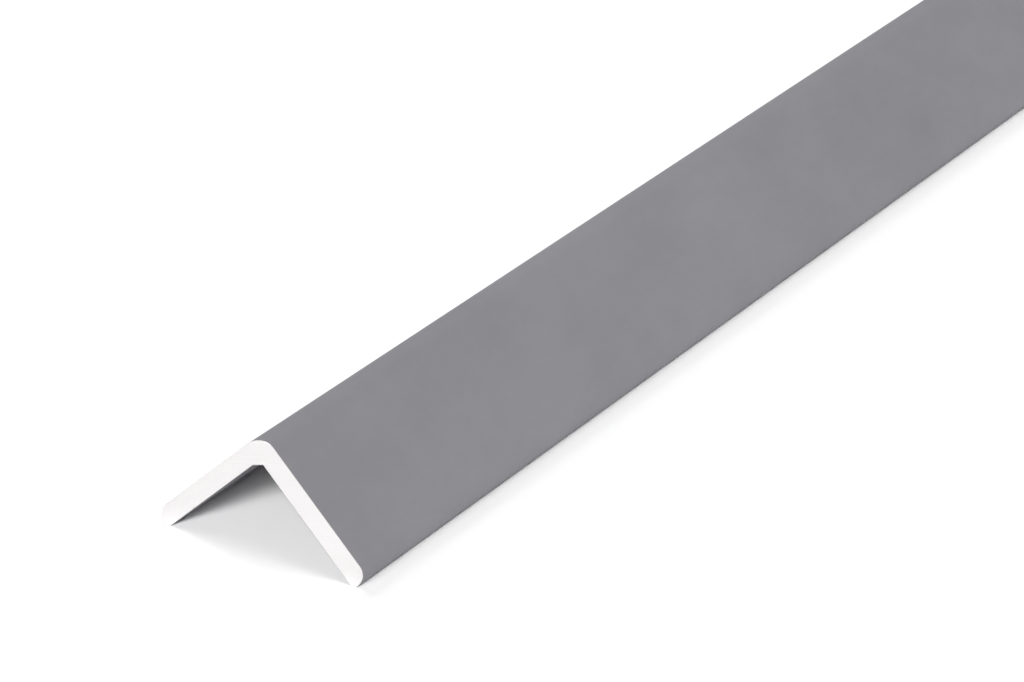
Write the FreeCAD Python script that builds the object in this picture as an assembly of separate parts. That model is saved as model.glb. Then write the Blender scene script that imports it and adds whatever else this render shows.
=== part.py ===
import FreeCAD, Part
import math
import os

# Corner guard moulding: one straight length of right-angled profile. It has a longer and a shorter leg of one
# wall, a rounded nose, a small flat across its inner corner and leg edges rounded more on the outside.
# It lies like a roof, standing on the edges of its two legs, with the longer leg towards -Y.
# Millimetres. X runs along the length, Z is up, and the origin is on the floor under the middle of the part.

# Driving dimensions
length = 1000.0  # from one cut end to the other
long_leg = 25.0  # outer width of the longer leg, up to the sharp corner that the nose rounds off
short_leg = 20.0  # the same of the shorter leg
wall = 2.8  # thickness of both legs
nose_radius = 2.7  # rounding of the outer corner
long_root = 0.85  # how far the flat across the inner corner reaches along the longer leg's inner face
short_root = 1.3  # the same along the shorter leg's inner face
edge_break = 0.8  # rounding of each leg's edge on its inner side

# Worked out from them
edge_round = wall - edge_break  # rounding of the same edge on its outer side, over the rest of the wall
round_share = 1 - math.sqrt(0.5)  # of its radius that a quarter round stays clear of its corner, each way
lean = math.atan2(short_leg - wall, long_leg - wall)  # of the longer leg, with both edges on the floor
corner_height = (short_leg - edge_break) * math.cos(lean) + edge_round * math.sin(lean) + edge_break
long_reach = (long_leg - edge_round) * math.cos(lean) - edge_round * math.sin(lean) + edge_round
short_reach = (short_leg - edge_round) * math.sin(lean) - edge_round * math.cos(lean) + edge_round
corner_offset = (long_reach - short_reach) / 2  # of the sharp outer corner from the middle of the width


def point(down_long, down_short):
    """Point of the section, from its distances down both legs, measured from the sharp outer corner."""
    across = down_short * math.sin(lean) - down_long * math.cos(lean)
    below = down_short * math.cos(lean) + down_long * math.sin(lean)
    return FreeCAD.Vector(-length / 2, corner_offset + across, corner_height - below)


def long_point(along, depth):
    """Point of the longer leg, from its distance along the leg and its depth under the outer face."""
    return point(along, depth)


def short_point(along, depth):
    """The same point of the shorter leg."""
    return point(depth, along)


def leg_edges(leg, root, place):
    """Outer face, both roundings of the edge and inner face of a leg. Place gives the leg's points."""
    outer_end = leg - edge_round
    inner_end = leg - edge_break
    round_in = edge_round * round_share
    break_in = edge_break * round_share
    outer_face = Part.LineSegment(place(nose_radius, 0), place(outer_end, 0))
    outer_middle = place(leg - round_in, round_in)
    outer_round = Part.Arc(place(outer_end, 0), outer_middle, place(leg, edge_round))
    inner_middle = place(leg - break_in, wall - break_in)
    inner_round = Part.Arc(place(leg, edge_round), inner_middle, place(inner_end, wall))
    inner_face = Part.LineSegment(place(inner_end, wall), place(wall + root, wall))
    return [edge.toShape() for edge in (outer_face, outer_round, inner_round, inner_face)]


def section():
    """The moulding's cross section at its -X end, as a flat face."""
    nose_top = nose_radius * round_share
    nose = Part.Arc(point(0, nose_radius), point(nose_top, nose_top), point(nose_radius, 0))
    root_flat = Part.LineSegment(point(wall + long_root, wall), point(wall, wall + short_root))
    edges = [nose.toShape(), root_flat.toShape()]
    edges += leg_edges(long_leg, long_root, long_point)
    edges += leg_edges(short_leg, short_root, short_point)
    return Part.Face(Part.Wire(Part.__sortEdges__(edges)))


corner_guard = section().extrude(FreeCAD.Vector(length, 0, 0))

os.makedirs("parts", exist_ok=True)
corner_guard.exportStep("parts/corner_guard.step")
box = corner_guard.BoundBox
print("corner_guard valid", corner_guard.isValid(), "volume mm3", round(corner_guard.Volume, 2))
print("size mm", round(box.XLength, 3), round(box.YLength, 3), round(box.ZLength, 3))
print("lowest", round(box.ZMin, 4), "middle of width", round((box.YMin + box.YMax) / 2, 4))
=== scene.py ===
import math

import bmesh
import bpy
import numpy as np
from mathutils import Euler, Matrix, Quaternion, Vector


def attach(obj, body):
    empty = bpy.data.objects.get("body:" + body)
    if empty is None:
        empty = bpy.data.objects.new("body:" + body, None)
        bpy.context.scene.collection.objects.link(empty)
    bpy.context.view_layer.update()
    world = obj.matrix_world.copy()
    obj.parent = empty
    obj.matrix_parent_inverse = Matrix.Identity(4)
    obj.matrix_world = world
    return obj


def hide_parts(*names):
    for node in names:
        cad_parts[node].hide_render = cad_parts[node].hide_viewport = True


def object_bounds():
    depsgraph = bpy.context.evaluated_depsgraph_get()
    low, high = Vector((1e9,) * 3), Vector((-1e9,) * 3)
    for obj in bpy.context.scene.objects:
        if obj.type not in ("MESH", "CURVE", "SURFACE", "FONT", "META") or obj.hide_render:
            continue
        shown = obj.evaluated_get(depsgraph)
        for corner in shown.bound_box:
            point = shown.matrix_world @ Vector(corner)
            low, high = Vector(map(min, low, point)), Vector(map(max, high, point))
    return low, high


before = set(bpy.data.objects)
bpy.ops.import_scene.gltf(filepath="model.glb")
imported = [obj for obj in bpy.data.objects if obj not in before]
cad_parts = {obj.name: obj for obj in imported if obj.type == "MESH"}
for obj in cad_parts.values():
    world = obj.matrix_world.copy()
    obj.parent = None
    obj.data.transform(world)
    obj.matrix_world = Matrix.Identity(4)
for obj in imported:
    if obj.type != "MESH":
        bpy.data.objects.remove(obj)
cad_low, cad_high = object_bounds()

# Moulding
# The real piece is one straight extrusion of aluminium, right-angled, with a longer and a shorter leg of one
# wall. It was powder coated matt grey all over and then sawn to length, so the two cut ends are bare. It lies
# like a roof on the rounded edges of its legs. Lengths are in metres.
long_leg = 0.025  # outer width of the longer leg, up to the sharp corner that the nose rounds off
short_leg = 0.020  # the same of the shorter leg
wall = 0.0028
nose_radius = 0.0027
long_root = 0.00085  # reach of the flat across the inner corner along the longer leg's inner face
short_root = 0.0013  # the same along the shorter leg's inner face
edge_break = 0.0008  # rounding of each leg's edge on its inner side
edge_round = wall - edge_break  # rounding of the same edge on its outer side
lean = math.atan2(short_leg - wall, long_leg - wall)
corner_height = (short_leg - edge_break) * math.cos(lean) + edge_round * math.sin(lean) + edge_break
long_reach = (long_leg - edge_round) * math.cos(lean) - edge_round * math.sin(lean) + edge_round
short_reach = (short_leg - edge_round) * math.sin(lean) - edge_round * math.cos(lean) + edge_round
corner_offset = (long_reach - short_reach) / 2
tip_steps = 16
nose_steps = 32
long_steps = 110
short_steps = 84
flat_margin = 0.0001


def run(start, end, steps):
    """Points of a straight line, its end left out: the start, then equal steps between two points that lie
    the flat margin inside the line's ends, so that smooth shading stays flat on the face between them."""
    start = np.array(start)
    end = np.array(end)
    span = np.linalg.norm(end - start)
    inside = np.linspace(flat_margin, span - flat_margin, steps - 1)
    share = np.concatenate([[0.0], inside / span])
    return start + share[:, None] * (end - start)


def bend(centre, radius, first, turn, steps):
    """Points of an arc, its end left out: centre + radius * (cos a, sin a), for a in equal steps from the
    first angle through the turn, in degrees."""
    angle = np.radians(first + turn * np.arange(steps) / steps)
    return np.array(centre) + radius * np.stack([np.cos(angle), np.sin(angle)], axis=1)


def section_sides(inset=0.0):
    """The section's outer and inner side, both from the tip of the longer leg to the tip of the shorter one,
    with as many points on each. A point is its distances down the longer and the shorter leg from the sharp
    outer corner. The whole outline lies inset inwards: arcs lose that from their radius and faces move by it,
    so the flat across the inner corner starts earlier on each inner face, by the inset times the tangent of
    half the turn between the two."""
    long_outer = long_leg - edge_round
    long_inner = long_leg - edge_break
    short_outer = short_leg - edge_round
    short_inner = short_leg - edge_break
    outer_round = edge_round - inset
    inner_round = edge_break - inset
    inner_depth = wall - inset
    root_flat = math.hypot(long_root, short_root)
    long_start = wall + long_root - inset * (root_flat - long_root) / short_root
    short_start = wall + short_root - inset * (root_flat - short_root) / long_root
    nose_centre = (nose_radius, nose_radius)
    tip = [(edge_round, short_leg - inset)]
    outer = [
        bend((long_outer, edge_round), outer_round, 0, -90, tip_steps),
        run((long_outer, inset), (nose_radius, inset), long_steps),
        bend(nose_centre, nose_radius - inset, -90, -90, nose_steps),
        run((inset, nose_radius), (inset, short_outer), short_steps),
        bend((edge_round, short_outer), outer_round, 180, -90, tip_steps),
        tip,
    ]
    inner = [
        bend((long_inner, edge_round), inner_round, 0, 90, tip_steps),
        run((long_inner, inner_depth), (long_start, inner_depth), long_steps),
        run((long_start, inner_depth), (inner_depth, short_start), nose_steps),
        run((inner_depth, short_start), (inner_depth, short_inner), short_steps),
        bend((edge_round, short_inner), inner_round, 0, 90, tip_steps),
        tip,
    ]
    return np.concatenate(outer), np.concatenate(inner)


def all_round(sides):
    """The closed outline of the two sides: out along the outer one and back along the inner one."""
    outer, inner = sides
    return np.concatenate([outer, inner[-2::-1]])


def across_and_up(points):
    """Where points of the section lie across the width and above the floor: across is the shorter leg's
    distance times the sine of the lean less the longer one's times its cosine, and below the corner is their
    sum with the sine and cosine changed over."""
    down_long = points[..., 0]
    down_short = points[..., 1]
    across = down_short * math.sin(lean) - down_long * math.cos(lean)
    below = down_short * math.cos(lean) + down_long * math.sin(lean)
    return corner_offset + across, corner_height - below


def in_frame(points, x):
    """Points of the section at the place x along the length."""
    return np.stack(np.broadcast_arrays(x, *across_and_up(points)), axis=-1)


def linear(colour):
    """Linear colour of an sRGB hex value: a channel c is c / 12.92 up to 0.04045, and above it
    ((c + 0.055) / 1.055) to the power 2.4."""
    channels = np.array([int(colour[at:at + 2], 16) for at in (1, 3, 5)]) / 255
    curve = ((channels + 0.055) / 1.055) ** 2.4
    return (*np.where(channels <= 0.04045, channels / 12.92, curve).tolist(), 1.0)


def add_node(tree, kind, inputs, **settings):
    """Adds a node of that kind with its settings. Each of its inputs, by name or number, gets a value or a
    link."""
    node = tree.nodes.new(kind)
    for setting, value in settings.items():
        setattr(node, setting, value)
    for socket, value in inputs.items():
        if isinstance(value, bpy.types.NodeSocket):
            tree.links.new(value, node.inputs[socket])
        else:
            node.inputs[socket].default_value = value
    return node


# Matt grey powder coat on aluminium: an even, slightly cool grey with hardly any shine. It flows out into a
# fine orange peel. Its tone is faintly cloudy where it lies thicker or thinner, in clouds that are drawn out
# along the length, as the spray passed over it.
coat_tone = "#8E8D92"
coat_thin_tone = "#7A797E"
coat_rough_low = 0.82
coat_rough_high = 0.92
peel_size = 0.0009
peel_height = 0.000003
drift_size = 0.022
drift_stretch = 2.6
drift_place = 0.186
coat = bpy.data.materials.new("matt grey powder coat on aluminium")
coat.use_nodes = True
coat_tree = coat.node_tree
coat_tree.nodes.clear()
coat_place = add_node(coat_tree, "ShaderNodeTexCoord", {})
coat_pass = add_node(
    coat_tree, "ShaderNodeMapping",
    {
        "Vector": coat_place.outputs["Object"],
        "Location": (drift_place, 0.0, 0.0),
        "Scale": (1 / drift_stretch, 1.0, 1.0),
    },
)
coat_drift = add_node(
    coat_tree, "ShaderNodeTexNoise",
    {"Vector": coat_pass.outputs["Vector"], "Scale": 1 / drift_size, "Detail": 5.0, "Roughness": 0.7},
)
coat_colour = add_node(
    coat_tree, "ShaderNodeMix",
    {0: coat_drift.outputs["Fac"], 6: linear(coat_thin_tone), 7: linear(coat_tone)},
    data_type="RGBA",
)
coat_peel = add_node(
    coat_tree, "ShaderNodeTexNoise",
    {"Vector": coat_place.outputs["Object"], "Scale": 1 / peel_size, "Detail": 2.0},
)
coat_relief = add_node(
    coat_tree, "ShaderNodeBump",
    {"Height": coat_peel.outputs["Fac"], "Strength": 1.0, "Distance": peel_height},
)
coat_roughness = add_node(
    coat_tree, "ShaderNodeMapRange",
    {"Value": coat_peel.outputs["Fac"], "To Min": coat_rough_low, "To Max": coat_rough_high},
)
coat_shader = add_node(
    coat_tree, "ShaderNodeBsdfPrincipled",
    {
        "Base Color": coat_colour.outputs[2],
        "Roughness": coat_roughness.outputs["Result"],
        "Specular IOR Level": 0.2,
        "Normal": coat_relief.outputs["Normal"],
    },
)
add_node(coat_tree, "ShaderNodeOutputMaterial", {"Surface": coat_shader.outputs["BSDF"]})

# Bright saw-cut aluminium: pale, and smooth enough to take on the white of the floor in front of it, with
# fine arcs from the blade that blur what it mirrors. They are drawn about twice as wide as real ones, so
# that they show at all.
bare_tone = "#DAD8D8"
marked_tone = "#D2D0D0"
bare_rough = 0.18
marked_rough = 0.24
blade_radius = 0.150
blade_across = 0.040
fine_mark_spacing = 0.00025
fine_mark_height = 0.000002
wave_turn = 20  # radians of the wave texture's phase over one unit of length, at scale 1
bare = bpy.data.materials.new("bright saw-cut aluminium")
bare.use_nodes = True
bare_tree = bare.node_tree
bare_tree.nodes.clear()
bare_place = add_node(bare_tree, "ShaderNodeTexCoord", {})
blade_place = add_node(
    bare_tree, "ShaderNodeMapping",
    {"Vector": bare_place.outputs["Object"], "Location": (0.0, -blade_across, -blade_radius)},
)
fine_marks = add_node(
    bare_tree, "ShaderNodeTexWave",
    {
        "Vector": blade_place.outputs["Vector"],
        "Scale": 2 * math.pi / (wave_turn * fine_mark_spacing),
        "Distortion": 1.5,
        "Detail": 2.0,
        "Detail Scale": 0.3,
    },
    wave_type="RINGS", rings_direction="X",
)
bare_colour = add_node(
    bare_tree, "ShaderNodeMix",
    {0: fine_marks.outputs["Fac"], 6: linear(marked_tone), 7: linear(bare_tone)},
    data_type="RGBA",
)
bare_roughness = add_node(
    bare_tree, "ShaderNodeMapRange",
    {"Value": fine_marks.outputs["Fac"], "To Min": marked_rough, "To Max": bare_rough},
)
bare_relief = add_node(
    bare_tree, "ShaderNodeBump",
    {"Height": fine_marks.outputs["Fac"], "Strength": 1.0, "Distance": fine_mark_height},
)
bare_shader = add_node(
    bare_tree, "ShaderNodeBsdfPrincipled",
    {
        "Base Color": bare_colour.outputs[2],
        "Metallic": 1.0,
        "Roughness": bare_roughness.outputs["Result"],
        "Normal": bare_relief.outputs["Normal"],
    },
)
add_node(bare_tree, "ShaderNodeOutputMaterial", {"Surface": bare_shader.outputs["BSDF"]})

# Coated sides, from one deburred rim to the other
deburr = 0.00006
length_steps = 40
coated_stations = np.linspace(cad_low.x + deburr, cad_high.x - deburr, length_steps + 1)
coated_sides = in_frame(all_round(section_sides())[None, :, :], coated_stations[:, None])

# Saw cuts, bare, with the blade's arcs as shallow relief and a fine chamfer where the burr was taken off
mark_spacing = 0.0007
mark_depth = 0.00001
swell_spacing = 5.3 * mark_spacing
swell_share = 0.35
across_steps = 20


def saw_depth(points):
    """How deep the saw marks lie at points of the section: a wave in the distance from the blade's centre,
    which stands a blade's radius above the floor, times a slower swell that makes some marks deeper than
    others."""
    across, up = across_and_up(points)
    reach = np.hypot(across - blade_across, up - blade_radius)
    wave = 0.5 - 0.5 * np.cos(2 * np.pi * reach / mark_spacing)
    swell = 1 - swell_share + swell_share * np.sin(2 * np.pi * reach / swell_spacing)
    return mark_depth * wave * swell


def saw_cut(cut, inwards):
    """Two grids of points for the end at x = cut: the chamfer round it, from the coated outline to the inset
    rim, and the cut face, in equal shares from the rim's outer side to its inner side. The rim and the face
    are sunk by the saw marks."""
    outline = all_round(section_sides())
    rim = section_sides(inset=deburr)
    rim_line = all_round(rim)
    chamfer = np.stack([
        in_frame(outline, cut + inwards * deburr),
        in_frame(rim_line, cut + inwards * saw_depth(rim_line)),
    ])
    share = np.linspace(0.0, 1.0, across_steps + 1)[None, :, None]
    face = rim[0][:, None, :] * (1 - share) + rim[1][:, None, :] * share
    return [chamfer, in_frame(face, cut + inwards * saw_depth(face))]


# One closed mesh of the coated sides and both cuts
coat_index = 0
bare_index = 1
merge_distance = 1e-7
sharp_angle = math.radians(30)


def joined_in_fours(number):
    """Faces of a grid of point numbers: each joins four neighbours."""
    corners = [number[:-1, :-1], number[1:, :-1], number[1:, 1:], number[:-1, 1:]]
    return np.stack(corners, axis=-1).reshape(-1, 4)


def closed_piece(name, patches, materials):
    """One closed object from grids of points, each with the number of its material: neighbours in a grid are
    joined in fours, points that coincide are merged, which closes the seams, and the faces are turned
    outwards."""
    faces = []
    finishes = []
    count = 0
    for patch, finish in patches:
        number = count + np.arange(patch.shape[0] * patch.shape[1]).reshape(patch.shape[:2])
        faces.append(joined_in_fours(number))
        finishes.append(np.full(len(faces[-1]), finish))
        count += number.size
    points = np.concatenate([patch.reshape(-1, 3) for patch, finish in patches])
    mesh = bpy.data.meshes.new(name)
    mesh.from_pydata(points.tolist(), [], np.concatenate(faces).tolist())
    mesh.polygons.foreach_set("material_index", np.concatenate(finishes))
    for material in materials:
        mesh.materials.append(material)
    form = bmesh.new()
    form.from_mesh(mesh)
    bmesh.ops.remove_doubles(form, verts=form.verts, dist=merge_distance)
    bmesh.ops.recalc_face_normals(form, faces=form.faces)
    form.to_mesh(mesh)
    form.free()
    mesh.shade_smooth()
    mesh.set_sharp_from_angle(angle=sharp_angle)
    piece = bpy.data.objects.new(name, mesh)
    bpy.context.scene.collection.objects.link(piece)
    return piece


moulding_patches = [(coated_sides, coat_index)]
for cut_patch in saw_cut(cad_low.x, 1.0) + saw_cut(cad_high.x, -1.0):
    moulding_patches.append((cut_patch, bare_index))
moulding = closed_piece("moulding", moulding_patches, [coat, bare])
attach(moulding, "root")
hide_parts("corner_guard")


# Floor and background
# A plain floor of white matt paper, which keeps the moulding's shadow, under an even white surrounding.
# The floor looks a little whiter than it lights, as an over-exposed backdrop does, so thin shadow fades out
# on it. The surrounding looks white and is mirrored as white, but it gives only a little light.
floor_half = 20.0
floor_points = 3
floor_tone = "#FCFCFC"
floor_gain = 1.06
surrounding_tone = "#FFFFFF"
ambient = 0.07


def seen_or_mirrored(tree):
    """Output that is 1 for rays from the camera, from a gloss or through a clear body, and 0 for the rest."""
    ray = add_node(tree, "ShaderNodeLightPath", {})
    direct = add_node(
        tree, "ShaderNodeMath",
        {0: ray.outputs["Is Camera Ray"], 1: ray.outputs["Is Glossy Ray"]},
        operation="MAXIMUM",
    )
    shown = add_node(
        tree, "ShaderNodeMath",
        {0: direct.outputs[0], 1: ray.outputs["Is Transmission Ray"]},
        operation="MAXIMUM",
    )
    return shown.outputs[0]


floor_line = np.linspace(-floor_half, floor_half, floor_points)
floor_x, floor_y = np.meshgrid(floor_line, floor_line, indexing="ij")
floor_grid = np.stack([floor_x, floor_y, np.zeros_like(floor_x)], axis=-1)
floor_faces = joined_in_fours(np.arange(floor_x.size).reshape(floor_x.shape))
floor_mesh = bpy.data.meshes.new("floor")
floor_mesh.from_pydata(floor_grid.reshape(-1, 3).tolist(), [], floor_faces.tolist())
floor = bpy.data.objects.new("floor", floor_mesh)
bpy.context.scene.collection.objects.link(floor)
paper = bpy.data.materials.new("white matt backdrop paper")
paper.use_nodes = True
paper_tree = paper.node_tree
paper_tree.nodes.clear()
paper_gain = add_node(
    paper_tree, "ShaderNodeMapRange",
    {"Value": seen_or_mirrored(paper_tree), "To Min": 1.0, "To Max": floor_gain},
)
paper_colour = add_node(
    paper_tree, "ShaderNodeVectorMath",
    {0: linear(floor_tone)[:3], "Scale": paper_gain.outputs["Result"]},
    operation="SCALE",
)
paper_shader = add_node(paper_tree, "ShaderNodeBsdfDiffuse", {"Color": paper_colour.outputs["Vector"]})
add_node(paper_tree, "ShaderNodeOutputMaterial", {"Surface": paper_shader.outputs["BSDF"]})
floor_mesh.materials.append(paper)

world = bpy.data.worlds.new("white surrounding")
world.use_nodes = True
world_tree = world.node_tree
world_tree.nodes.clear()
world_strength = add_node(
    world_tree, "ShaderNodeMapRange",
    {"Value": seen_or_mirrored(world_tree), "To Min": ambient, "To Max": 1.0},
)
world_light = add_node(
    world_tree, "ShaderNodeBackground",
    {"Color": linear(surrounding_tone), "Strength": world_strength.outputs["Result"]},
)
add_node(world_tree, "ShaderNodeOutputWorld", {"Surface": world_light.outputs["Background"]})
bpy.context.scene.world = world


# Lamps
# Two soft lamps stand in front of the near end and shine along the moulding, the broader one low over the
# floor. A weak low one lights the longer leg's side, a broad one hangs overhead, and one behind keeps the
# back from going dark.
def soft_lamp(name, height, heading, spread, level):
    """A soft lamp far away, that many degrees above the floor, which looks as many degrees wide as its
    spread. Its light runs at heading degrees from the moulding's length towards the shorter leg. Level is
    its light on the floor, where 1 would show white paper as white."""
    low = math.cos(math.radians(height))
    turn = math.radians(heading)
    way = Vector((low * math.cos(turn), low * math.sin(turn), -math.sin(math.radians(height))))
    lamp = bpy.data.lights.new(name, "SUN")
    lamp.energy = level * math.pi / -way.z
    lamp.angle = math.radians(spread)
    lamp_object = bpy.data.objects.new(name, lamp)
    lamp_object.rotation_euler = way.to_track_quat("-Z", "Y").to_euler()
    bpy.context.scene.collection.objects.link(lamp_object)


soft_lamp("front lamp", height=21.0, heading=8.0, spread=6.0, level=0.305)
soft_lamp("low front lamp", height=8.0, heading=0.0, spread=16.0, level=0.295)
soft_lamp("low side lamp", height=8.0, heading=120.0, spread=16.0, level=0.042)
soft_lamp("overhead lamp", height=80.0, heading=0.0, spread=40.0, level=0.140)
soft_lamp("rear lamp", height=33.0, heading=240.0, spread=26.0, level=0.170)


# Camera
# A long lens in front of the near end, above the floor on the longer leg's side, turned about its own line of
# sight so that the moulding climbs steeply across the picture. Angles are in degrees.
camera_place = (-1.779222, -0.350474, 0.427354)
camera_azimuth = 14.1580
camera_pitch = 16.3200
camera_roll = 13.9506
sensor_width = 36.0
focal_length = 351.5625
camera_data = bpy.data.cameras.new("camera")
camera_data.sensor_width = sensor_width
camera_data.lens = focal_length
camera = bpy.data.objects.new("camera", camera_data)
camera.location = camera_place
level_turn = Euler((math.radians(90 - camera_pitch), 0, math.radians(camera_azimuth - 90))).to_quaternion()
camera.rotation_mode = "QUATERNION"
camera.rotation_quaternion = level_turn @ Quaternion((0, 0, 1), math.radians(camera_roll))
bpy.context.scene.collection.objects.link(camera)
bpy.context.scene.camera = camera
bpy.context.scene.view_settings.view_transform = "Standard"
